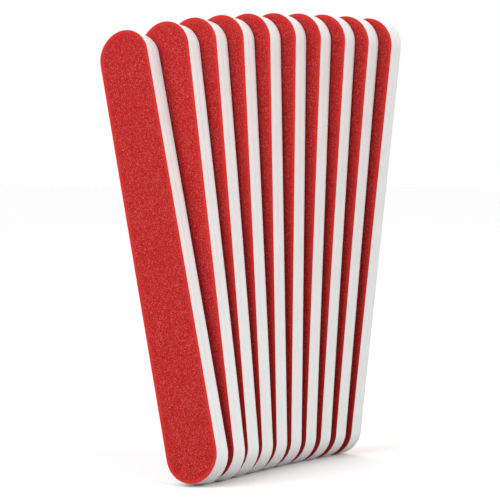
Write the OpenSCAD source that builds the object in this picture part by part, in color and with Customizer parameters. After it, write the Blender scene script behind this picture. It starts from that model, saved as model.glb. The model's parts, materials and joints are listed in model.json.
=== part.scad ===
// A set of foam-cushioned emery boards, standing on their rounded feet and
// fanned like a hand of cards. Millimetres, +Z up, the floor at Z = 0.
// The boards follow each other along +Y, and their grit faces look to -Y and +Y.
// Each board leans back a little on the one behind it, and the rear one is upright.

/* [Board] */
// Length of a board over its rounded ends
board_l = 178; // [120:1:200]
// Width of a board, and so the diameter of its rounded ends
board_w = 22; // [18:0.5:32]

/* [Layers] */
// Thickness of the stiff plastic core
core_t = 1; // [0.5:0.1:2]
// Thickness of each foam pad
foam_t = 3.1; // [1:0.1:4]
// Thickness of each abrasive sheet, its paper and grit together
sheet_t = 0.5; // [0.3:0.05:1]

/* [Fan] */
// Number of boards in the set
board_count = 10; // [2:1:12]
// Free space between the heads of neighbouring boards
head_gap = 0.4; // [0.2:0.1:2]
// Angle by which each board leans back more than the one behind it
lean_angle = 1; // [0:0.1:2]
// Angle of the front board from upright, to the left
front_angle = 16.8; // [0:0.1:30]
// Angle from the front board to the one behind it
lead_angle = 4.6; // [1:0.1:8]
// Angle from the second board to the third
turn_angle = 2.9; // [0.5:0.1:5]
// Each angle behind that is smaller by this much
fade_angle = 0.16; // [0:0.01:0.3]
// Sideways step from the front foot to the one behind it, to the right
lead_step = 0.3; // [-3:0.1:6]
// Sideways step from the second foot to the third
foot_step = -0.8; // [-3:0.1:4]
// Each step behind that is further to the right by this much
step_growth = 0.23; // [0:0.01:0.5]

/* [Hidden] */
$fn = 96;
foot_r = board_w / 2;
head_rise = board_l - board_w;
board_t = core_t + 2 * (foam_t + sheet_t);

// Middle of a foam pad and of an abrasive sheet, away from the board's own middle
foam_y = (core_t + foam_t) / 2;
sheet_y = core_t / 2 + foam_t + sheet_t / 2;

// How a board stands: its turn and sideways step to the one behind it, its tilt
// from upright to the right, and its lean from upright to the rear
function turn(i) = i == 1 ? lead_angle : turn_angle - (i - 2) * fade_angle;
function step(i) = i == 1 ? lead_step : foot_step + (i - 2) * step_growth;
function tilt(i) = i == 1 ? -front_angle : tilt(i - 1) + turn(i - 1);
function lean(i) = (board_count - i) * lean_angle;

// From a foot's centre to the next one's along Y, for boards that meet at their heads
function pitch(i) = head_gap
    + board_t / 2 * (1 / cos(lean(i)) + 1 / cos(lean(i + 1)))
    + (board_l - foot_r) * (tan(lean(i)) - tan(lean(i + 1)));

// A foot's way from the front one, to the right and to the rear
function way_x(i) = i == 1 ? 0 : way_x(i - 1) + step(i - 1);
function way_y(i) = i == 1 ? 0 : way_y(i - 1) + pitch(i - 1);
function head_x(i) = way_x(i) + head_rise * sin(tilt(i));

// The sides of the whole set, measured from the front foot
left_x = min([for (i = [1:board_count]) min(way_x(i), head_x(i))]) - foot_r;
right_x = max([for (i = [1:board_count]) max(way_x(i), head_x(i))]) + foot_r;
front_y = -board_t / 2 * cos(lean(1)) - foot_r * sin(lean(1));
rear_y = way_y(board_count) + board_t / 2;

function foot_x(i) = way_x(i) - (left_x + right_x) / 2;
function foot_y(i) = way_y(i) - (front_y + rear_y) / 2;
function foot_z(i) = foot_r * cos(lean(i)) + board_t / 2 * sin(lean(i));

LAYERS = ["front_grit_sheet", "front_foam_pad", "core", "rear_foam_pad", "rear_grit_sheet"];
function board_name(i) = str("board_", i < 10 ? "0" : "", i);
function node_name(i, layer) = str(board_name(i), "_", layer);

// Outline of a board, upright, its foot centred on the origin
module outline() {
    circle(r = foot_r);
    translate([-foot_r, 0]) square([board_w, head_rise]);
    translate([0, head_rise]) circle(r = foot_r);
}

// One layer of the outline, its middle at y behind the board's own middle
module layer_solid(thickness, y) {
    translate([0, y, 0])
        rotate([90, 0, 0])
            linear_extrude(height = thickness, center = true) outline();
}

// Stiff plastic strip that keeps the board straight
module core() {
    color("whitesmoke") layer_solid(core_t, 0);
}

// Closed-cell foam that cushions an abrasive sheet
module foam_pad(y) {
    color("white") layer_solid(foam_t, y);
}

// Paper sheet with bonded red grit on its outer side
module grit_sheet(y) {
    color("firebrick") layer_solid(sheet_t, y);
}

module board_layer(layer) {
    if (layer == "front_grit_sheet") grit_sheet(-sheet_y);
    if (layer == "front_foam_pad") foam_pad(-foam_y);
    if (layer == "core") core();
    if (layer == "rear_foam_pad") foam_pad(foam_y);
    if (layer == "rear_grit_sheet") grit_sheet(sheet_y);
}

// Stands a layer on the floor at board i's place in the fan
module placed(i) {
    translate([foot_x(i), foot_y(i), foot_z(i)])
        rotate([-lean(i), 0, 0])
            rotate([0, tilt(i), 0])
                children();
}

for (i = [1:board_count]) for (layer = LAYERS)
    placed(i) board_layer(layer);
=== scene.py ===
import json
from math import cos, pi, radians, sin, sqrt

import bpy
from mathutils import Matrix, Vector

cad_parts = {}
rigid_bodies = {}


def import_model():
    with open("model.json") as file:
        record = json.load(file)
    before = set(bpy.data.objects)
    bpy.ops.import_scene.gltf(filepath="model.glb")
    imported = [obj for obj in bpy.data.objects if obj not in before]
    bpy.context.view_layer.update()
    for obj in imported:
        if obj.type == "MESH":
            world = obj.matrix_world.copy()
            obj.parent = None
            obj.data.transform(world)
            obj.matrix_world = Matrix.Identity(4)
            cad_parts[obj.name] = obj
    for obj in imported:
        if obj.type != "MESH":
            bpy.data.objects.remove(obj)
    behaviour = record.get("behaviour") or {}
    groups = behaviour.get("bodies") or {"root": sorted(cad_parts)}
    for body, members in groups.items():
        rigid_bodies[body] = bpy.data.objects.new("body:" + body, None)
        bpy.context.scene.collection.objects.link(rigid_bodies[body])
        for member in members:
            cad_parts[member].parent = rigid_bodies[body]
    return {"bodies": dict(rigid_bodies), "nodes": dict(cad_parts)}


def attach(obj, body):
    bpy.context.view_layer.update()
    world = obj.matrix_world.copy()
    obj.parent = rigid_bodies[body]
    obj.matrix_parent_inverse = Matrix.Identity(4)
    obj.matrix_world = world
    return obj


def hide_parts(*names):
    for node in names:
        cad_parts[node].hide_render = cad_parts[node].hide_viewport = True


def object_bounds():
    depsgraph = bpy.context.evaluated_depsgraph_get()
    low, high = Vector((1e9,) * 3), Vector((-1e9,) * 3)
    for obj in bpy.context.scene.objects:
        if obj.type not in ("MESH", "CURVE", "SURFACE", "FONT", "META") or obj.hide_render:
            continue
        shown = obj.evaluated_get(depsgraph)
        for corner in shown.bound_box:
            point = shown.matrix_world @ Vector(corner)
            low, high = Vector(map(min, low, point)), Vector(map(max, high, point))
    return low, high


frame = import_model()
cad_low, cad_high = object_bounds()
MM = 0.001

# The set is seen from the right of its front, a little above the middle of the boards,
# from less than a metre away, so that the rear boards look smaller.
VIEW_TURN = radians(31.0)
VIEW_RISE = radians(2.2)
VIEW_DISTANCE = 906 * MM
LENS = 166.8
AIM_RIGHT = 5.1 * MM
AIM_DOWN = 3.9 * MM

view_back = Vector((
    sin(VIEW_TURN) * cos(VIEW_RISE), -cos(VIEW_TURN) * cos(VIEW_RISE), sin(VIEW_RISE)))
view_right = Vector((cos(VIEW_TURN), sin(VIEW_TURN), 0))
set_middle = (cad_low + cad_high) / 2
view_place = set_middle + view_back * VIEW_DISTANCE
view_aim = set_middle + view_right * AIM_RIGHT - Vector((0, 0, AIM_DOWN))
bpy.ops.object.camera_add(location=view_place)
camera = bpy.context.object
camera.rotation_euler = (view_place - view_aim).to_track_quat("Z", "Y").to_euler()
camera.data.lens = LENS
camera.data.clip_start = 10 * MM
bpy.context.scene.camera = camera
bpy.context.scene.view_settings.view_transform = "Standard"

# A white light tent: faint light from every side and three broad soft panels, overhead, on
# the right and behind on the left. A large softbox in front, a little to the left, shades
# each board just behind the edge before it. The camera sees the tent as plain white.
TENT_LIGHT = 0.2
# Each panel's name, light, tilt, turn and spread.
PANELS = (("top_panel", 1.2, 0, 0, radians(130)),
          ("right_panel", 1.85, radians(70), radians(95), radians(50)),
          ("rear_panel", 1.2, radians(60), radians(-130), radians(90)))
SOFTBOX_LIGHT = 8.8
SOFTBOX_SIZE = 800 * MM
SOFTBOX_DISTANCE = 1200 * MM
SOFTBOX_TURN = Matrix.Rotation(radians(-15), 4, "Z") @ Matrix.Rotation(radians(66), 4, "X")


def feed(tree, node, **inputs):
    """Sets a node's inputs: plain values are kept, and sockets are linked.

    An input is given by its name, or by its number, as in i0.
    """
    for name, value in inputs.items():
        by_number = name[1:].isdigit()
        socket = node.inputs[int(name[1:]) if by_number else name.replace("_", " ")]
        if isinstance(value, bpy.types.NodeSocket):
            tree.links.new(value, socket)
        else:
            socket.default_value = value
    return node


def new_node(tree, kind, **inputs):
    """A new node with its inputs set."""
    return feed(tree, tree.nodes.new(kind), **inputs)


def reckon(tree, operation, first, second=0.0, third=0.0):
    """One step of arithmetic on a material's values."""
    node = new_node(tree, "ShaderNodeMath", i0=first, i1=second, i2=third)
    node.operation = operation
    return node.outputs[0]


def seen_directly(tree):
    """1 for what the camera sees, also in gloss and through glass, and 0 for the light."""
    path = tree.nodes.new("ShaderNodeLightPath")
    seen = reckon(tree, "MAXIMUM", path.outputs["Is Camera Ray"], path.outputs["Is Glossy Ray"])
    return reckon(tree, "MAXIMUM", seen, path.outputs["Is Transmission Ray"])


world = bpy.data.worlds.new("light_tent")
bpy.context.scene.world = world
world.use_nodes = True
tent = world.node_tree
tent.nodes.clear()
tent_glow = new_node(tent, "ShaderNodeBackground", Color=(1, 1, 1, 1), Strength=TENT_LIGHT)
tent_wall = new_node(tent, "ShaderNodeBackground", Color=(1, 1, 1, 1), Strength=1.0)
tent_mix = new_node(tent, "ShaderNodeMixShader", i0=seen_directly(tent),
                    i1=tent_glow.outputs[0], i2=tent_wall.outputs[0])
new_node(tent, "ShaderNodeOutputWorld", Surface=tent_mix.outputs[0])

for name, strength, tilt, turn, spread in PANELS:
    bpy.ops.object.light_add(type="SUN", rotation=(tilt, 0, turn))
    panel = bpy.context.object
    panel.name = name
    panel.data.energy = strength
    panel.data.angle = spread
bpy.ops.object.light_add(
    type="AREA", location=set_middle + SOFTBOX_TURN @ Vector((0, 0, SOFTBOX_DISTANCE)),
    rotation=SOFTBOX_TURN.to_euler())
softbox = bpy.context.object
softbox.name = "softbox"
softbox.data.energy = SOFTBOX_LIGHT
softbox.data.size = SOFTBOX_SIZE
softbox.visible_camera = False

# The table is plain white card, broad enough to reach the horizon behind the boards.
# Unshaded card renders as full white, and keeps the boards' shadow.
TABLE_SIZE = 12.0
CARD_SEEN = 1.0     # the card's tone for the camera
CARD_WHITE = 0.4    # and for the light that it throws back on the boards

bpy.ops.object.select_all(action="DESELECT")
bpy.ops.mesh.primitive_plane_add(size=TABLE_SIZE, location=(0, 0, cad_low.z))
table = bpy.context.object
table.name = "table"
card = bpy.data.materials.new("white_card")
card.use_nodes = True
tree = card.node_tree
tree.nodes.clear()
card_tone = reckon(tree, "MULTIPLY_ADD", seen_directly(tree), CARD_SEEN - CARD_WHITE, CARD_WHITE)
card_colour = new_node(tree, "ShaderNodeCombineColor", i0=card_tone, i1=card_tone, i2=card_tone)
card_face = new_node(tree, "ShaderNodeBsdfDiffuse", Color=card_colour.outputs[0])
new_node(tree, "ShaderNodeOutputMaterial", Surface=card_face.outputs[0])
table.data.materials.append(card)

# Core: the thin stiff strip of white plastic in the middle of each board. It is cut with
# full-round ends, and both foam pads are glued to it. Only its cut edge shows.
BOARDS = sorted(frame["bodies"])
CORE_WHITE = (0.79, 0.79, 0.785, 1)
CORE_SHADE = (0.76, 0.76, 0.755, 1)
CORE_PATCH = 9 * MM
PATCH_RANGE = 0.35, 0.75    # noise below the first is no patch, and above the second a full one
CORE_ROUGHNESS = 0.38
CUT_MARK = 0.35 * MM
CUT_MARK_DEPTH = 0.03 * MM
CUT_MARK_ROUGHNESS = 0.2


def material(name):
    """A new material, its node tree and its shader."""
    made = bpy.data.materials.new(name)
    made.use_nodes = True
    return made, made.node_tree, made.node_tree.nodes["Principled BSDF"]


def mix_colour(tree, share, first, second):
    """A colour between two others."""
    node = tree.nodes.new("ShaderNodeMix")
    node.data_type = "RGBA"
    return feed(tree, node, i0=share, i6=first, i7=second).outputs[2]


def noise(tree, size, detail=2.0):
    """Soft noise with patches of that size, in metres, on Object coordinates."""
    spot = tree.nodes.new("ShaderNodeTexCoord").outputs["Object"]
    return new_node(tree, "ShaderNodeTexNoise", Vector=spot, Scale=1 / size, Detail=detail).outputs[0]


def step_up(tree, value, low, high):
    """0 at low and beyond it, 1 at high and beyond it, and even between them."""
    return new_node(tree, "ShaderNodeMapRange", Value=value, From_Min=low, From_Max=high).outputs[0]


def raise_surface(tree, shader, height, depth):
    """Bump of that depth, in metres, on a shader."""
    bump = new_node(tree, "ShaderNodeBump", Height=height, Distance=depth, Strength=1.0)
    feed(tree, shader, Normal=bump.outputs[0])


core_plastic, tree, shader = material("core_plastic")
cut_marks = noise(tree, CUT_MARK, detail=4.0)
shade = step_up(tree, noise(tree, CORE_PATCH), *PATCH_RANGE)
roughness = reckon(tree, "MULTIPLY_ADD", cut_marks, CUT_MARK_ROUGHNESS, CORE_ROUGHNESS)
feed(tree, shader, Base_Color=mix_colour(tree, shade, CORE_WHITE, CORE_SHADE), Roughness=roughness)
raise_surface(tree, shader, cut_marks, CUT_MARK_DEPTH)
for board in BOARDS:
    core = frame["nodes"][board + "_core"]
    core.data.materials.clear()
    core.data.materials.append(core_plastic)
    core.data.update()

# Foam pads: white closed-cell foam, one on each side of the core, glued over the whole
# face and die-cut together with it. The blade draws the cut edge in a little.
PAD_STEPS = 7
PAD_EDGE_STEP = 0.5 * MM
PAD_DRAWN_IN = 0.05 * MM
NEAR = 0.01 * MM
FOAM_WHITE = (0.79, 0.79, 0.785, 1)
FOAM_SHADE = (0.76, 0.755, 0.75, 1)
FOAM_PATCH = 12 * MM
FOAM_CELL = 0.25 * MM
FOAM_CELL_DEPTH = 0.04 * MM
FOAM_ROUGHNESS = 0.75
FOAM_GLOSS = 0.3


def stance(board):
    """Where a board stands: takes an upright board, foot centre on the origin, to its place."""
    core = frame["nodes"][board + "_core"].data
    # The largest triangles lie in its flat faces, and the next largest in its straight sides.
    faces = sorted(core.polygons, key=lambda face: face.area)
    through = faces[-1].normal.copy()
    across = [face.normal for face in faces if abs(face.normal.dot(through)) < 0.5][-1].copy()
    through *= 1 if through.y > 0 else -1
    up = across.cross(through)
    up *= 1 if up.z > 0 else -1
    across = through.cross(up)
    middle = Vector()
    for axis in (across, through, up):
        reach = [corner.co.dot(axis) for corner in core.vertices]
        middle += axis * (min(reach) + max(reach)) / 2
    reach = [corner.co.dot(up) for corner in core.vertices]
    width = [corner.co.dot(across) for corner in core.vertices]
    foot = middle - up * ((max(reach) - min(reach)) - (max(width) - min(width))) / 2
    place = Matrix((across, through, up)).transposed().to_4x4()
    place.translation = foot
    return place


def upright_box(node, place):
    """Lowest and highest corner of a layer, measured on its board as if it stood upright."""
    back = place.inverted()
    corners = [back @ corner.co for corner in frame["nodes"][node].data.vertices]
    return tuple(Vector([reach(corner[i] for corner in corners) for i in range(3)])
                 for reach in (min, max))


def pick(piece, kind, test):
    """Goes into edit mode with the vertices, edges or faces selected that pass a test."""
    bpy.ops.object.mode_set(mode="EDIT")
    bpy.ops.mesh.select_mode(type={"vertices": "VERT", "edges": "EDGE", "polygons": "FACE"}[kind])
    bpy.ops.mesh.select_all(action="DESELECT")
    bpy.ops.object.mode_set(mode="OBJECT")
    for part in getattr(piece.data, kind):
        part.select = test(part)
    bpy.ops.object.mode_set(mode="EDIT")


def round_strip(name, low, high, edge_step):
    """Outline of a strip with full-round ends, upright, along its front side.

    Its edges are about edge_step long. With it come its radius, the rise from the foot's
    centre to the head's, and the number of edges of the circle that it is drawn out from.
    """
    radius = (high.x - low.x) / 2
    rise = high.z - low.z - 2 * radius
    round_steps = 4 * round(pi * radius / edge_step / 2)
    bpy.ops.object.select_all(action="DESELECT")
    bpy.ops.mesh.primitive_circle_add(vertices=round_steps, radius=radius, fill_type="NOTHING",
                                      location=(0, low.y, 0), rotation=(pi / 2, pi / round_steps, 0))
    piece = bpy.context.object
    piece.name = piece.data.name = name
    bpy.ops.object.transform_apply(location=True, rotation=True, scale=True)
    pick(piece, "vertices", lambda corner: corner.co.z > 0)
    bpy.ops.transform.translate(value=(0, 0, rise))
    bpy.ops.object.mode_set(mode="OBJECT")
    pick(piece, "edges", lambda edge: span(piece, edge).length > rise / 2)
    for _ in range(2):
        bpy.ops.mesh.subdivide(number_cuts=round(sqrt(rise / edge_step)) - 1)
    bpy.ops.object.mode_set(mode="OBJECT")
    return piece, radius, rise, round_steps


def ends(piece, edge):
    """The two ends of an edge."""
    return [piece.data.vertices[i].co for i in edge.vertices]


def span(piece, edge):
    """From one end of an edge to the other."""
    first, last = ends(piece, edge)
    return last - first


def put_on(master, name, place, board, node, coats):
    """A copy of an upright layer, on its own board, in the place of its CAD node."""
    piece = master.copy()
    piece.data = master.data.copy()
    piece.name = piece.data.name = name
    bpy.context.scene.collection.objects.link(piece)
    piece.data.transform(place)
    piece.data.materials.clear()
    for coat in coats:
        piece.data.materials.append(coat)
    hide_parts(node)
    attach(piece, board)
    return piece


pad_low, pad_high = upright_box("board_01_front_foam_pad", stance("board_01"))
pad, *_ = round_strip("foam_pad", pad_low, pad_high, PAD_EDGE_STEP)
pad_depth = pad_high.y - pad_low.y
bpy.ops.object.mode_set(mode="EDIT")
bpy.ops.mesh.select_all(action="SELECT")
bpy.ops.mesh.edge_face_add()
bpy.ops.mesh.extrude_region_move(TRANSFORM_OT_translate={"value": (0, pad_depth, 0)})
bpy.ops.mesh.select_all(action="SELECT")
bpy.ops.mesh.normals_make_consistent(inside=False)
bpy.ops.object.mode_set(mode="OBJECT")
pick(pad, "edges", lambda edge: abs(span(pad, edge).y) > pad_depth / 2)
bpy.ops.mesh.subdivide(number_cuts=PAD_STEPS - 1)
bpy.ops.object.mode_set(mode="OBJECT")
for ring in range(1, PAD_STEPS):
    ring_y = pad_low.y + pad_depth * ring / PAD_STEPS
    pick(pad, "vertices", lambda corner: abs(corner.co.y - ring_y) < NEAR)
    bpy.ops.transform.shrink_fatten(value=-PAD_DRAWN_IN * sin(pi * ring / PAD_STEPS))
    bpy.ops.object.mode_set(mode="OBJECT")
pick(pad, "polygons", lambda face: abs(face.normal.y) < 0.9)
bpy.ops.mesh.faces_shade_smooth()
bpy.ops.object.mode_set(mode="OBJECT")

foam_white, tree, shader = material("foam_white")
shade = step_up(tree, noise(tree, FOAM_PATCH), *PATCH_RANGE)
feed(tree, shader, Base_Color=mix_colour(tree, shade, FOAM_WHITE, FOAM_SHADE),
     Roughness=FOAM_ROUGHNESS, Specular_IOR_Level=FOAM_GLOSS)
raise_surface(tree, shader, noise(tree, FOAM_CELL, detail=3.0), FOAM_CELL_DEPTH)

FRONT_TO_REAR = Matrix.Rotation(pi, 4, "Z")
for board in BOARDS:
    for side, turn in (("front", Matrix()), ("rear", FRONT_TO_REAR)):
        piece = put_on(pad, f"{board}_{side}_foam", stance(board) @ turn, board,
                       f"{board}_{side}_foam_pad", [foam_white])
bpy.data.objects.remove(pad)

# Abrasive sheets: white paper with red grit bonded to its outer side, glued over each foam
# pad and die-cut with it. The blade presses the rim a little round and leaves bare paper
# on the cut edge.
GRIT_STEP = 0.4 * MM
RIM_ROUND = 0.16 * MM
RIM_STEPS = 3
RELIEF_FROM_RIM = 0.24 * MM
GRIT_FACING = 0.3       # a face that looks less to the front than this is bare paper
GRAIN_SIZE = 0.6 * MM
GRAIN_DEPTH = 0.03 * MM
CRUMB_SIZE = 0.3 * MM
CRUMB_DEPTH = 0.04 * MM
FINE_GRAIN = 0.21 * MM
FINE_CRUMB = 0.22 * MM
FINE_DEPTH = 0.05 * MM
GRIT_ROUGHNESS = 0.85
GRIT_GLOSS = 0.15
GRIT_RED = (0.475, 0.013, 0.012, 1)
# Pink grains: partly paler grit, partly painted glints.
GRIT_PALE_AND_GLINT = (0.62, 0.122, 0.119, 1)
GRIT_DARK = (0.44, 0.006, 0.006, 1)
# Brighter red along the rim: a painted highlight.
GRIT_RIM_HIGHLIGHT = (0.67, 0.034, 0.024, 1)
RED_RANGE = 0.3, 0.7        # noise below the first is dark grit, and above the second red
PALE_AND_GLINT_RANGE = 0.7, 1.0       # and grains whose chance tone is in this range turn pink: partly paler grit, partly painted glints
RIM_HIGHLIGHT_RANGE = 1.8 * MM, 0.4 * MM      # from the rim, where its painted highlight starts and is full
PAPER_WHITE = (0.80, 0.795, 0.785, 1)
PAPER_SHADE = (0.76, 0.755, 0.75, 1)
PAPER_ROUGHNESS = 0.85
PAPER_FIBRE = 0.2 * MM
PAPER_FIBRE_DEPTH = 0.03 * MM


def from_rim(spot, radius, rise):
    """How far inside the outline of an upright strip a spot is."""
    past_straight = max(0, -spot.z, spot.z - rise)
    return radius - Vector((spot.x, past_straight)).length


def finish_with(piece, kind, **settings):
    """Adds a modifier and applies it."""
    bpy.ops.object.select_all(action="DESELECT")
    bpy.context.view_layer.objects.active = piece
    piece.select_set(True)
    modifier = piece.modifiers.new(kind.lower(), kind)
    for name, value in settings.items():
        setattr(modifier, name, value)
    bpy.ops.object.modifier_apply(modifier=modifier.name)


sheet_low, sheet_high = upright_box("board_01_front_grit_sheet", stance("board_01"))
sheet, radius, rise, round_steps = round_strip("grit_sheet", sheet_low, sheet_high, GRIT_STEP)
columns = 2 * round(radius / GRIT_STEP)
end_reach = radius * cos(pi * columns / round_steps)


def is_at_end(edge):
    """Whether an edge of the outline ends one of the grid's columns, at the foot or the head."""
    return (max(end.z for end in ends(sheet, edge)) > rise + end_reach + NEAR
            or min(end.z for end in ends(sheet, edge)) < -end_reach - NEAR)


pick(sheet, "edges", is_at_end)
bpy.ops.mesh.fill_grid()
bpy.ops.mesh.select_all(action="DESELECT")
bpy.ops.mesh.select_non_manifold()
bpy.ops.mesh.extrude_edges_move(TRANSFORM_OT_translate={"value": (0, sheet_high.y - sheet_low.y, 0)})
bpy.ops.mesh.edge_face_add()
bpy.ops.mesh.select_all(action="SELECT")
bpy.ops.mesh.normals_make_consistent(inside=False)
bpy.ops.object.mode_set(mode="OBJECT")


def is_front(spot):
    """Whether a spot lies on the sheet's outer face."""
    return spot.y < sheet_low.y + NEAR


pick(sheet, "edges", lambda edge: all(
    is_front(end) and from_rim(end, radius, rise) < NEAR for end in ends(sheet, edge)))
bpy.ops.mesh.bevel(offset=RIM_ROUND, segments=RIM_STEPS, affect="EDGES")
bpy.ops.mesh.select_all(action="SELECT")
bpy.ops.mesh.faces_shade_smooth()
bpy.ops.object.mode_set(mode="OBJECT")
pick(sheet, "polygons", lambda face: face.center.y > sheet_high.y - NEAR)
bpy.ops.mesh.faces_shade_flat()
bpy.ops.object.mode_set(mode="OBJECT")
inner = [corner.index for corner in sheet.data.vertices
         if is_front(corner.co) and from_rim(corner.co, radius, rise) > RELIEF_FROM_RIM]
sheet.vertex_groups.new(name="grit").add(inner, 1, "REPLACE")
rim = sheet.data.attributes.new("from_rim", "FLOAT", "POINT")
rim.data.foreach_set("value", [from_rim(corner.co, radius, rise) for corner in sheet.data.vertices])
paper = {face.index for face in sheet.data.polygons if -face.normal.y < GRIT_FACING}

red_grit, tree, shader = material("red_grit")
spot = tree.nodes.new("ShaderNodeTexCoord").outputs["Object"]
grains = new_node(tree, "ShaderNodeTexVoronoi", Vector=spot, Scale=1 / FINE_GRAIN)
grain_tone = new_node(tree, "ShaderNodeSeparateColor", Color=grains.outputs["Color"]).outputs[0]
crumbs = noise(tree, FINE_CRUMB)
red = mix_colour(tree, step_up(tree, crumbs, *RED_RANGE), GRIT_DARK, GRIT_RED)
# Pink grains at random: partly paler grit, partly painted glints.
red = mix_colour(tree, step_up(tree, grain_tone, *PALE_AND_GLINT_RANGE), red, GRIT_PALE_AND_GLINT)
inward = tree.nodes.new("ShaderNodeAttribute")
inward.attribute_name = "from_rim"
# Painted highlight: the grit turns brighter red towards the rim.
red = mix_colour(tree, step_up(tree, inward.outputs["Fac"], *RIM_HIGHLIGHT_RANGE), red, GRIT_RIM_HIGHLIGHT)
feed(tree, shader, Base_Color=red, Roughness=GRIT_ROUGHNESS, Specular_IOR_Level=GRIT_GLOSS)
raise_surface(tree, shader, reckon(tree, "ADD", grains.outputs["Distance"], crumbs), FINE_DEPTH)

white_paper, tree, shader = material("white_paper")
fibres = noise(tree, PAPER_FIBRE, detail=3.0)
feed(tree, shader, Base_Color=mix_colour(tree, fibres, PAPER_WHITE, PAPER_SHADE),
     Roughness=PAPER_ROUGHNESS)
raise_surface(tree, shader, fibres, PAPER_FIBRE_DEPTH)

grain_relief = bpy.data.textures.new("grain_relief", "VORONOI")
grain_relief.noise_scale = GRAIN_SIZE
crumb_relief = bpy.data.textures.new("crumb_relief", "CLOUDS")
crumb_relief.noise_scale = CRUMB_SIZE
for board in BOARDS:
    for side, turn in (("front", Matrix()), ("rear", FRONT_TO_REAR)):
        piece = put_on(sheet, f"{board}_{side}_grit", stance(board) @ turn, board,
                       f"{board}_{side}_grit_sheet", [red_grit, white_paper])
        for face in piece.data.polygons:
            face.material_index = 1 if face.index in paper else 0
        finish_with(piece, "DISPLACE", texture=grain_relief, texture_coords="LOCAL", mid_level=0,
                    strength=-GRAIN_DEPTH, vertex_group="grit")
        finish_with(piece, "DISPLACE", texture=crumb_relief, texture_coords="LOCAL", mid_level=1,
                    strength=CRUMB_DEPTH, vertex_group="grit")
bpy.data.objects.remove(sheet)
